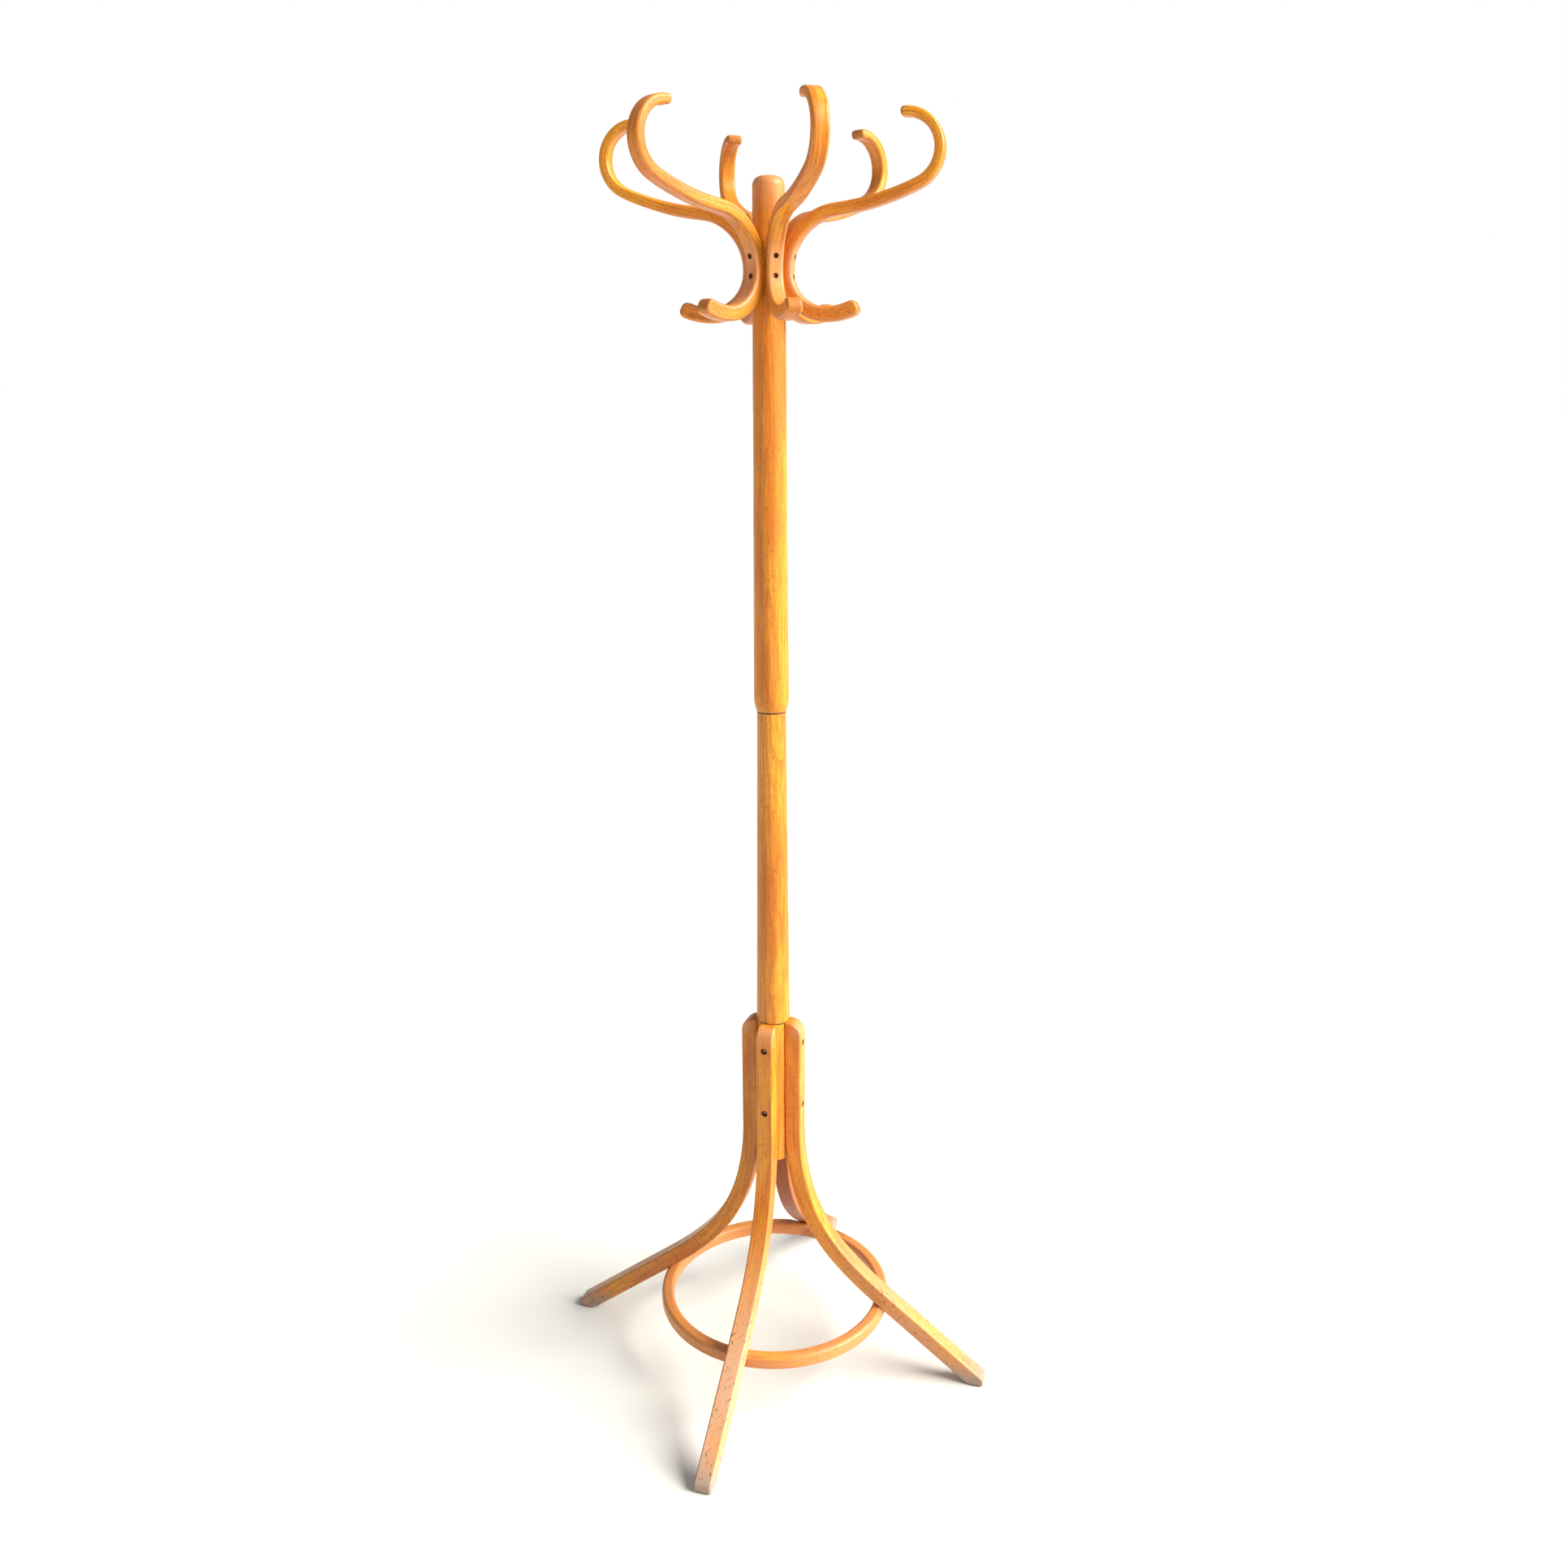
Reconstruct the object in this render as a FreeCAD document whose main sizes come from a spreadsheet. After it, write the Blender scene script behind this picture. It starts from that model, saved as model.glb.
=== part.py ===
import FreeCAD, Part
import math
import os
import Sketcher

# A standing coat rack of bent and turned beech.  The column stands on the Z axis, Z = 0 is the floor,
# and the front leg points along -Y.  Lengths are in millimetres and angles in degrees.

SIZES = {
    # columns
    "rim_height": 589.0,            # shoulder that the leg tops butt against
    "core_bottom": 352.0,
    "core_radius": 25.0,
    "core_edge_radius": 4.0,
    "column_foot_radius": 25.6,     # both columns are this thick at the bottom
    "column_head_radius": 21.3,     # and this thick at the top
    "seam_height": 1077.0,
    "upper_end_radius": 21.7,       # the upper column's lower end, rounded in to the seam
    "upper_end_length": 22.0,
    "upper_end_curve": 64.0,
    "column_top": 1794.0,
    "dome_radius": 12.0,
    "seam_edge_radius": 0.8,
    # screw joint between the columns
    "stud_radius": 5.0,
    "stud_clearance": 0.07,
    "stud_depth": 44.0,             # in the lower column
    "stud_engagement": 36.0,        # in the upper column's insert
    "insert_radius": 7.5,
    "insert_length": 38.0,
    "insert_recess": 0.5,
    "insert_clearance": 0.1,
    "bore_spare": 3.0,              # left empty past the end of the stud or insert
    "stud_chamfer": 1.0,
    # legs
    "leg_width": 27.0,
    "leg_thickness": 26.0,
    "leg_seat_radius": 22.0,        # from the axis to a leg's inner face
    "leg_bend_height": 404.0,
    "leg_bend_radius_1": 400.0,
    "leg_bend_angle_1": 14.0,
    "leg_bend_radius_2": 270.0,
    "leg_bend_angle_2": 29.0,
    "leg_bend_radius_3": 500.0,
    "leg_bend_angle_3": 9.5,
    "leg_spare": 60.0,              # bar left on below the floor until the sole is cut
    "leg_reach": 350.0,
    "leg_top_radius": 21.0,
    "leg_edge_radius": 3.2,
    "toe_top_radius": 11.0,
    "toe_bottom_radius": 5.0,
    "heel_radius": 30.0,
    # foot ring
    "ring_radius": 175.0,
    "ring_height": 100.5,
    "ring_width": 19.5,
    "ring_depth": 23.0,
    "ring_edge_radius": 6.0,
    # hooks
    "crown_turn": 33.3,             # from the front leg to the first hook
    "hook_width": 22.0,
    "hook_seat_radius": 19.3,       # flats on the column that the hooks are screwed to
    "hook_seat_height": 1676.0,     # where a hook's bar runs straight up beside the column
    "hook_seat_below": 31.0,
    "hook_seat_above": 36.0,
    "hook_bar_radius": 24.5,        # from the axis to the bar's middle at that height
    "hook_seat_thinning": 1.2,      # how far the taper has drawn the bar's face in at that height
    "hook_low_thickness": 20.5,
    "hook_top_thickness": 12.0,
    "hook_tip_radius": 90.0,
    "hook_tip_angle": 28.0,
    "hook_heel_radius": 54.5,
    "hook_throat_radius": 75.0,
    "hook_arm_rise": 6.0,           # slope of the arm where it leaves the throat
    "hook_arm_radius": 355.0,
    "hook_arm_angle": 18.0,
    "hook_bow_radius": 43.8,
    "hook_bow_angle": 165.0,
    "hook_edge_radius": 4.0,
    "hook_low_end_radius": 8.0,
    "hook_top_end_radius": 5.0,
    # screws
    "leg_screw_height": 501.0,      # middle of a leg's pair
    "leg_screw_spacing": 106.0,
    "leg_screw_head_radius": 4.6,
    "leg_screw_head_depth": 3.2,
    "leg_screw_shank_radius": 2.5,
    "leg_screw_length": 40.0,
    "leg_screw_sink": 6.0,
    "hook_screw_height": 1681.5,
    "hook_screw_spacing": 24.5,
    "hook_screw_head_radius": 3.1,
    "hook_screw_head_depth": 2.2,
    "hook_screw_shank_radius": 1.75,
    "hook_screw_length": 23.5,
    "hook_screw_sink": 4.6,
    "ring_screw_head_radius": 3.6,
    "ring_screw_head_depth": 2.6,
    "ring_screw_shank_radius": 2.0,
    "ring_screw_length": 30.0,
    "ring_screw_seat": 8.0,         # from the middle of the ring's bar
    "screw_clearance": 0.1,         # around a head and a shank in their holes
    "screw_point_length": 7.0,
    "screw_slot_depth": 1.1,
    "screw_slot_width": 1.2,
    "screw_top_share": 0.6,         # radius of a head's flat top, of the head's radius
    "screw_rim_share": 0.55,        # height of a head's rim, of the head's depth
    "screw_mouth_length": 12.0,     # how far a hole is cut outwards from the head
    "cut_spare": 1.0,               # how far cutting outlines run on past the wood
}

LEG_TURNS = {"leg_right": 0.0, "leg_back": 90.0, "leg_left": 180.0, "leg_front": 270.0}
HOOK_COUNT = 6
OUTLINE_STEP = 9.0                  # degrees of bend between the points of a hook's outline
LEAST_STEPS = 4                     # and the fewest steps in one bend of it
HEEL = 1                            # the bend of a hook that ends at its seat, counted from 0

doc = FreeCAD.newDocument("coat_rack")
sheet = doc.addObject("Spreadsheet::Sheet", "Sizes")


# ---------------------------------------------------------------------------------------------------
# Driving sizes
# ---------------------------------------------------------------------------------------------------

def fill_sheet():
    for row, (alias, value) in enumerate(SIZES.items(), start=1):
        sheet.set("A%d" % row, alias.replace("_", " "))
        sheet.set("B%d" % row, str(value))
        sheet.setAlias("B%d" % row, alias)
    doc.recompute()


def size(formula):
    """The value of a formula in the sheet's aliases, such as 'leg_width / 2'."""
    return float(sheet.evalExpression(formula))


def bound(formula):
    """The same formula as another object writes it, with each alias read from the sheet."""
    words = []
    word = ""
    for letter in formula + " ":
        if letter.isalnum() or letter == "_":
            word += letter
        else:
            words.append("Sizes." + word if word in SIZES else word)
            words.append(letter)
            word = ""
    return "".join(words).strip()


# ---------------------------------------------------------------------------------------------------
# Sketches and features
# ---------------------------------------------------------------------------------------------------

def new_body(name, turn=0.0):
    body = doc.addObject("PartDesign::Body", name)
    body.Label = name
    body.AllowCompound = True
    body.Placement = FreeCAD.Placement(FreeCAD.Vector(), FreeCAD.Rotation(FreeCAD.Vector(0, 0, 1), turn))
    return body


def origin_item(body, role):
    return next(item for item in body.Origin.OriginFeatures if item.Role == role)


def new_sketch(body, name, role="XZ_Plane"):
    sketch = body.newObject("Sketcher::SketchObject", body.Name + "_" + name)
    sketch.AttachmentSupport = [(origin_item(body, role), "")]
    sketch.MapMode = "FlatFace"
    return sketch


def hold(sketch, kind, name, formula, *where):
    """Add a dimension whose value is a formula in the sheet."""
    value = size(formula)
    if kind == "Angle":
        value = math.radians(value)
    index = sketch.addConstraint(Sketcher.Constraint(kind, *where, value))
    sketch.renameConstraint(index, name)
    unit = " * 1 deg" if kind == "Angle" else ""
    sketch.setExpression("Constraints." + name, "(" + bound(formula) + ")" + unit)


def arc_between(start, end, radius):
    """The arc that leaves start anticlockwise and bulges to the right on its way to the end."""
    chord = end - start
    left = FreeCAD.Vector(-chord.y, chord.x, 0).normalize()
    centre = (start + end) * 0.5 + left * math.sqrt(radius ** 2 - chord.Length ** 2 / 4)
    first = math.atan2(start.y - centre.y, start.x - centre.x)
    last = math.atan2(end.y - centre.y, end.x - centre.x)
    return Part.ArcOfCircle(Part.Circle(centre, FreeCAD.Vector(0, 0, 1), radius), first, last)


def polygon(sketch, corners, curves=None):
    """A closed outline, listed anticlockwise.  Each corner is a pair of formulas, across and up.

    A side is straight, or an arc if curves gives a radius for the number of the corner it leaves.
    """
    curves = curves or {}
    places = [FreeCAD.Vector(size(across), size(up), 0) for across, up in corners]
    count = len(corners)
    for index in range(count):
        start, end = places[index], places[(index + 1) % count]
        if index in curves:
            side = arc_between(start, end, size(curves[index]))
        else:
            side = Part.LineSegment(start, end)
        sketch.addGeometry(side, False)
    for index, radius in curves.items():
        hold(sketch, "Radius", "curve_%d" % index, radius, index)
    for index in range(count):
        sketch.addConstraint(Sketcher.Constraint("Coincident", index, 2, (index + 1) % count, 1))
    for index, (across, up) in enumerate(corners):
        hold(sketch, "DistanceX", "across_%d" % index, across, -1, 1, index, 1)
        hold(sketch, "DistanceY", "up_%d" % index, up, -1, 1, index, 1)


def box_outline(sketch, low_across, low_up, high_across, high_up):
    polygon(sketch, [(low_across, low_up), (high_across, low_up),
                     (high_across, high_up), (low_across, high_up)])


def revolve(body, sketch, name, kind="PartDesign::Revolution", axis=None):
    feature = body.newObject(kind, body.Name + "_" + name)
    feature.Profile = sketch
    feature.ReferenceAxis = axis or (origin_item(body, "Z_Axis"), [""])
    feature.Angle = 360
    body.Tip = feature
    return feature


def extrude(body, sketch, name, length, kind="PartDesign::Pad"):
    """A pad or pocket with half its length on each side of the sketch."""
    feature = body.newObject(kind, body.Name + "_" + name)
    feature.Profile = sketch
    feature.SideType = "Symmetric"
    feature.setExpression("Length", bound(length))
    body.Tip = feature
    return feature


def around(body, features, name, count):
    pattern = body.newObject("PartDesign::PolarPattern", body.Name + "_" + name)
    pattern.Originals = features
    pattern.Axis = (origin_item(body, "Z_Axis"), [""])
    pattern.Angle = 360
    pattern.Occurrences = count
    body.Tip = pattern
    return pattern


def round_edges(body, name, radius, chosen):
    """Fillet every edge of the body's tip that the function 'chosen' accepts."""
    doc.recompute()
    base = body.Tip
    names = ["Edge%d" % number for number, edge in enumerate(base.Shape.Edges, start=1) if chosen(edge)]
    if not names:
        raise RuntimeError("no edge to round: %s of %s" % (name, body.Name))
    feature = body.newObject("PartDesign::Fillet", body.Name + "_" + name)
    feature.Base = (base, names)
    feature.setExpression("Radius", bound(radius))
    body.Tip = feature
    return feature


def is_ring_at(height, radius):
    """Chooses the circular edges at a height and radius about the Z axis."""
    def chosen(edge):
        box = edge.BoundBox
        flat = abs(box.ZMin - size(height)) < 0.01 and abs(box.ZMax - size(height)) < 0.01
        reach = max(math.hypot(vertex.X, vertex.Y) for vertex in edge.Vertexes)
        return flat and abs(reach - size(radius)) < 0.01
    return chosen


# ---------------------------------------------------------------------------------------------------
# Screws and their holes, turned about an axis in the XZ plane
# ---------------------------------------------------------------------------------------------------

def screw_corners(seat, slope, steps):
    """(along, out) steps on a screw's axis as (across, up) formulas.

    The seat is the (across, up) place of the head's underside, 'along' runs from there towards the
    slot, and the slope is the angle in degrees of that direction above the outward one.
    """
    axis_across = "cos((%s) * 1 deg)" % slope
    axis_up = "sin((%s) * 1 deg)" % slope
    return [("(%s) * %s - (%s) * %s + (%s)" % (along, axis_across, out, axis_up, seat[0]),
             "(%s) * %s + (%s) * %s + (%s)" % (along, axis_up, out, axis_across, seat[1]))
            for along, out in steps]


def turned(body, name, seat, slope, steps, kind):
    """Turn an outline of (along, out) steps about a screw's axis."""
    sketch = new_sketch(body, name + "_profile")
    polygon(sketch, screw_corners(seat, slope, steps))
    start, end = (FreeCAD.Vector(size(across), size(up), 0)
                  for across, up in screw_corners(seat, slope, [("0", "0"), ("screw_mouth_length", "0")]))
    line = sketch.addGeometry(Part.LineSegment(start, end), True)
    sketch.addConstraint(Sketcher.Constraint("Block", line))
    return revolve(body, sketch, name, kind, (sketch, ["Axis0"]))


def screw_steps(screw):
    """Half the outline of a round-headed screw whose sizes start with the given name."""
    head = screw + "_head_radius"
    depth = screw + "_head_depth"
    shank = screw + "_shank_radius"
    length = screw + "_length"
    return [("-" + length, "0"), (depth, "0"), (depth, head + " * screw_top_share"),
            (depth + " * screw_rim_share", head), ("0", head), ("0", shank),
            ("screw_point_length - " + length, shank)]


def hole_steps(screw):
    """Half the outline of the hole for that screw, with its sunk mouth left open."""
    head = screw + "_head_radius + screw_clearance"
    shank = screw + "_shank_radius + screw_clearance"
    length = screw + "_length"
    return [("-screw_clearance - " + length, "0"), ("screw_mouth_length", "0"), ("screw_mouth_length", head),
            ("0", head), ("0", shank), ("screw_point_length - " + length, shank)]


def slotted_screw(body, name, screw, seat, slope):
    made = turned(body, name, seat, slope, screw_steps(screw), "PartDesign::Revolution")
    sketch = new_sketch(body, name + "_slot_profile")
    top = screw + "_head_depth + cut_spare"
    floor = screw + "_head_depth - screw_slot_depth"
    reach = "(%s_head_radius + cut_spare)" % screw
    steps = [(floor, "-" + reach), (top, "-" + reach), (top, reach), (floor, reach)]
    polygon(sketch, screw_corners(seat, slope, steps))
    slot = extrude(body, sketch, name + "_slot", "screw_slot_width", "PartDesign::Pocket")
    return [made, slot]


LEG_SCREW_SEAT = "leg_seat_radius + leg_thickness - leg_screw_sink"
LEG_SCREW_HEIGHTS = {"low": "leg_screw_height - leg_screw_spacing / 2",
                     "high": "leg_screw_height + leg_screw_spacing / 2"}
HOOK_SCREW_SEAT = "hook_bar_radius + hook_low_thickness / 2 - hook_seat_thinning - hook_screw_sink"
HOOK_SCREW_HEIGHTS = {"low": "hook_screw_height - hook_screw_spacing / 2",
                      "high": "hook_screw_height + hook_screw_spacing / 2"}
LEG_TILT = "(leg_bend_angle_1 + leg_bend_angle_2 + leg_bend_angle_3)"
RING_SCREW_SEAT = ("ring_radius - ring_screw_seat * cos(%s * 1 deg)" % LEG_TILT,
                   "ring_height - ring_screw_seat * sin(%s * 1 deg)" % LEG_TILT)
RING_SCREW_SLOPE = "180 + " + LEG_TILT


# ---------------------------------------------------------------------------------------------------
# Columns and the screw joint between them
# ---------------------------------------------------------------------------------------------------

def make_lower_column():
    body = new_body("lower_column")
    outline = new_sketch(body, "profile")
    polygon(outline, [("0", "core_bottom"), ("core_radius", "core_bottom"), ("core_radius", "rim_height"),
                      ("column_foot_radius", "rim_height"), ("column_head_radius", "seam_height"),
                      ("0", "seam_height")])
    revolve(body, outline, "turning")
    round_edges(body, "seam_edge", "seam_edge_radius", is_ring_at("seam_height", "column_head_radius"))
    round_edges(body, "core_edge", "core_edge_radius", is_ring_at("core_bottom", "core_radius"))
    flat = new_sketch(body, "leg_seat_profile")
    box_outline(flat, "leg_seat_radius", "core_bottom - cut_spare",
                "column_foot_radius + cut_spare", "rim_height")
    seat = extrude(body, flat, "leg_seat", "2 * column_foot_radius", "PartDesign::Pocket")
    around(body, [seat], "leg_seats", 4)
    holes = [turned(body, "screw_hole_" + place, (LEG_SCREW_SEAT, height), "0",
                    hole_steps("leg_screw"), "PartDesign::Groove")
             for place, height in LEG_SCREW_HEIGHTS.items()]
    around(body, holes, "screw_holes", 4)
    bore = new_sketch(body, "stud_bore_profile")
    box_outline(bore, "0", "seam_height - stud_depth - bore_spare", "stud_radius + stud_clearance",
                "seam_height + cut_spare")
    revolve(body, bore, "stud_bore", "PartDesign::Groove")
    return body


def make_upper_column():
    body = new_body("upper_column")
    outline = new_sketch(body, "profile")
    polygon(outline, [("0", "seam_height"), ("upper_end_radius", "seam_height"),
                      ("column_foot_radius", "seam_height + upper_end_length"),
                      ("column_head_radius", "column_top"), ("0", "column_top")],
            {1: "upper_end_curve"})
    revolve(body, outline, "turning")
    round_edges(body, "dome", "dome_radius", is_ring_at("column_top", "column_head_radius"))
    flat = new_sketch(body, "hook_seat_profile")
    box_outline(flat, "hook_seat_radius", "hook_seat_height - hook_seat_below",
                "column_foot_radius", "hook_seat_height + hook_seat_above")
    seat = extrude(body, flat, "hook_seat", "2 * column_foot_radius", "PartDesign::Pocket")
    holes = [turned(body, "screw_hole_" + place, (HOOK_SCREW_SEAT, height), "0",
                    hole_steps("hook_screw"), "PartDesign::Groove")
             for place, height in HOOK_SCREW_HEIGHTS.items()]
    around(body, [seat] + holes, "hook_seats", HOOK_COUNT)
    bore = new_sketch(body, "insert_bore_profile")
    box_outline(bore, "0", "seam_height - cut_spare", "insert_radius + insert_clearance",
                "seam_height + insert_recess + insert_length + bore_spare")
    revolve(body, bore, "insert_bore", "PartDesign::Groove")
    return body


def make_joint_stud():
    body = new_body("joint_stud")
    outline = new_sketch(body, "profile")
    low = "seam_height - stud_depth"
    high = "seam_height + stud_engagement"
    tip = "stud_radius - stud_chamfer"
    polygon(outline, [("0", low), (tip, low), ("stud_radius", low + " + stud_chamfer"),
                      ("stud_radius", high + " - stud_chamfer"), (tip, high), ("0", high)])
    revolve(body, outline, "turning")
    return body


def make_joint_insert():
    body = new_body("joint_insert")
    outline = new_sketch(body, "profile")
    box_outline(outline, "stud_radius + stud_clearance", "seam_height + insert_recess", "insert_radius",
                "seam_height + insert_recess + insert_length")
    revolve(body, outline, "turning")
    return body


# ---------------------------------------------------------------------------------------------------
# Legs and the foot ring
# ---------------------------------------------------------------------------------------------------

def leg_end():
    """Formulas for where the last bend of a leg's middle line ends, (across, up)."""
    across = "leg_seat_radius + leg_thickness / 2"
    up = "leg_bend_height"
    before = "0"
    for bend in ("1", "2", "3"):
        after = before + " + leg_bend_angle_" + bend
        radius = "leg_bend_radius_" + bend
        across += " + %s * (cos((%s) * 1 deg) - cos((%s) * 1 deg))" % (radius, before, after)
        up += " - %s * (sin((%s) * 1 deg) - sin((%s) * 1 deg))" % (radius, after, before)
        before = after
    return across, up


def leg_path(body):
    """The leg's middle line: straight down, three bends outwards, and straight past the floor."""
    sketch = new_sketch(body, "path")
    place = FreeCAD.Vector(size("leg_seat_radius + leg_thickness / 2"), size("leg_bend_height"), 0)
    top = FreeCAD.Vector(place.x, size("rim_height"), 0)
    sketch.addGeometry(Part.LineSegment(top, place), False)
    heading = -90.0
    for bend in ("1", "2", "3"):
        radius = size("leg_bend_radius_" + bend)
        turn = size("leg_bend_angle_" + bend)
        left = math.radians(heading + 90)
        centre = place + FreeCAD.Vector(math.cos(left), math.sin(left), 0) * radius
        circle = Part.Circle(centre, FreeCAD.Vector(0, 0, 1), radius)
        arc = Part.ArcOfCircle(circle, math.radians(heading - 90), math.radians(heading - 90 + turn))
        sketch.addGeometry(arc, False)
        place = arc.EndPoint
        heading += turn
    run = FreeCAD.Vector(math.cos(math.radians(heading)), math.sin(math.radians(heading)), 0)
    end = place + run * ((place.y + size("leg_spare")) / -run.y)
    sketch.addGeometry(Part.LineSegment(place, end), False)
    for joint in range(4):
        sketch.addConstraint(Sketcher.Constraint("Tangent", joint, 2, joint + 1, 1))
    sketch.addConstraint(Sketcher.Constraint("Vertical", 0))
    hold(sketch, "DistanceX", "top_across", "leg_seat_radius + leg_thickness / 2", -1, 1, 0, 1)
    hold(sketch, "DistanceY", "top_up", "rim_height", -1, 1, 0, 1)
    hold(sketch, "DistanceY", "bend_up", "leg_bend_height", -1, 1, 0, 2)
    for bend in (1, 2, 3):
        hold(sketch, "Radius", "radius_%d" % bend, "leg_bend_radius_%d" % bend, bend)
        hold(sketch, "Angle", "angle_%d" % bend, "leg_bend_angle_%d" % bend, bend)
    hold(sketch, "DistanceY", "end_up", "-leg_spare", -1, 1, 4, 2)
    return sketch


def edge_at(across=None, up=None):
    """Chooses the edges that lie straight across the bar at a place in its side view."""
    def chosen(edge):
        box = edge.BoundBox
        right_across = across is None or (abs(box.XMin - across) < 0.01 and abs(box.XMax - across) < 0.01)
        right_up = up is None or (abs(box.ZMin - up) < 0.01 and abs(box.ZMax - up) < 0.01)
        return right_across and right_up and box.YLength > 1
    return chosen


def side_edge(width):
    """Chooses the edges around both side faces of a bar of that width."""
    def chosen(edge):
        box = edge.BoundBox
        return box.YLength < 0.01 and abs(abs(box.YMin) - size(width) / 2) < 0.01
    return chosen


def make_leg(name, turn):
    body = new_body(name, turn)
    path = leg_path(body)
    section = new_sketch(body, "section", "XY_Plane")
    section.setExpression("AttachmentOffset.Base.z", bound("rim_height"))
    box_outline(section, "leg_seat_radius", "-leg_width / 2", "leg_seat_radius + leg_thickness",
                "leg_width / 2")
    doc.recompute()
    bar = body.newObject("PartDesign::AdditivePipe", name + "_bar")
    bar.Profile = section
    bar.Spine = (path, ["Edge%d" % number for number in range(1, len(path.Shape.Edges) + 1)])
    body.Tip = bar
    waste = new_sketch(body, "foot_profile")
    polygon(waste, [("0", "-3 * leg_spare"), ("2 * leg_reach", "-3 * leg_spare"),
                    ("2 * leg_reach", "leg_reach"), ("leg_reach", "leg_reach"), ("leg_reach", "0"),
                    ("0", "0")])
    extrude(body, waste, "foot_cut", "2 * leg_width", "PartDesign::Pocket")
    outer = size("leg_seat_radius + leg_thickness")
    reach = size("leg_reach")
    round_edges(body, "top_round", "leg_top_radius", edge_at(outer, size("rim_height")))
    round_edges(body, "toe_bottom", "toe_bottom_radius", edge_at(reach, 0))
    round_edges(body, "toe_top", "toe_top_radius",
                lambda edge: edge_at(reach)(edge) and edge.BoundBox.ZMin > size("toe_bottom_radius") + 1)
    round_edges(body, "heel", "heel_radius",
                lambda edge: edge_at(up=0)(edge) and edge.BoundBox.XMax < reach - size("toe_top_radius"))
    round_edges(body, "long_edges", "leg_edge_radius", side_edge("leg_width"))
    for place, height in LEG_SCREW_HEIGHTS.items():
        turned(body, "screw_hole_" + place, (LEG_SCREW_SEAT, height), "0", hole_steps("leg_screw"),
               "PartDesign::Groove")
    turned(body, "ring_screw_hole", RING_SCREW_SEAT, RING_SCREW_SLOPE, hole_steps("ring_screw"),
           "PartDesign::Groove")
    return body


def make_foot_ring():
    body = new_body("foot_ring")
    section = new_sketch(body, "section")
    box_outline(section, "ring_radius - ring_width / 2", "ring_height - ring_depth / 2",
                "ring_radius + ring_width / 2", "ring_height + ring_depth / 2")
    revolve(body, section, "hoop")
    round_edges(body, "edges", "ring_edge_radius", lambda edge: edge.Length > size("ring_radius"))
    end_across, end_up = leg_end()
    under_across = "(%s - leg_thickness / 2 * cos(%s * 1 deg))" % (end_across, LEG_TILT)
    under_up = "(%s - leg_thickness / 2 * sin(%s * 1 deg))" % (end_up, LEG_TILT)
    near = "(ring_radius - 2 * ring_width)"
    far = "(ring_radius + 2 * ring_width)"
    fall = "%s - (%s - %s) / tan(%s * 1 deg)"
    facet = new_sketch(body, "leg_facet_profile")
    polygon(facet, [(near, fall % (under_up, near, under_across, LEG_TILT)),
                    (far, fall % (under_up, far, under_across, LEG_TILT)),
                    (far, "2 * ring_height"), (near, "2 * ring_height")])
    cut = extrude(body, facet, "leg_facet", "ring_radius", "PartDesign::Pocket")
    hole = turned(body, "screw_hole", RING_SCREW_SEAT, RING_SCREW_SLOPE, hole_steps("ring_screw"),
                  "PartDesign::Groove")
    around(body, [cut, hole], "leg_facets", 4)
    return body


# ---------------------------------------------------------------------------------------------------
# Hooks
# ---------------------------------------------------------------------------------------------------

def hook_line():
    """Points along a hook's middle line from its low tip to its top tip: (place, heading, run)."""
    bends = [(size("hook_tip_radius"), -size("hook_tip_angle")), (size("hook_heel_radius"), -90.0),
             (size("hook_throat_radius"), size("hook_arm_rise") - 90.0),
             (size("hook_arm_radius"), size("hook_arm_angle")),
             (size("hook_bow_radius"), size("hook_bow_angle"))]
    heading = 180.0 + size("hook_tip_angle")
    place = FreeCAD.Vector()
    run = 0.0
    points = [(place, heading, run)]
    for number, (radius, turn) in enumerate(bends):
        steps = max(LEAST_STEPS, int(round(abs(turn) / OUTLINE_STEP)))
        chord = 2 * radius * math.sin(math.radians(abs(turn) / steps / 2))
        for _ in range(steps):
            middle = math.radians(heading + turn / steps / 2)
            place = place + FreeCAD.Vector(math.cos(middle), math.sin(middle), 0) * chord
            heading += turn / steps
            run += radius * math.radians(abs(turn)) / steps
            points.append((place, heading, run))
        if number == HEEL:
            seat = place
    shift = FreeCAD.Vector(size("hook_bar_radius"), size("hook_seat_height"), 0) - seat
    return [(place + shift, heading, run) for place, heading, run in points]


def hook_outline(body):
    """The hook's side view: two curves that draw together towards the top tip, closed at the tips."""
    sketch = new_sketch(body, "profile")
    line = hook_line()
    total = line[-1][2]
    low, top = size("hook_low_thickness"), size("hook_top_thickness")
    sides = {1: [], -1: []}
    for place, heading, run in line:
        half = (low + (top - low) * run / total) / 2
        across = FreeCAD.Vector(-math.sin(math.radians(heading)), math.cos(math.radians(heading)), 0)
        for side, points in sides.items():
            points.append(place + across * half * side)
    for side in (1, -1):
        curve = Part.BSplineCurve()
        curve.interpolate(sides[side])
        sketch.addGeometry(curve, False)
    sketch.addGeometry(Part.LineSegment(sides[1][0], sides[-1][0]), False)
    sketch.addGeometry(Part.LineSegment(sides[1][-1], sides[-1][-1]), False)
    for curve, end, closing, point in ((0, 1, 2, 1), (1, 1, 2, 2), (0, 2, 3, 1), (1, 2, 3, 2)):
        sketch.addConstraint(Sketcher.Constraint("Coincident", curve, end, closing, point))
    for geometry in range(4):
        sketch.addConstraint(Sketcher.Constraint("Block", geometry))
    return sketch, line


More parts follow.
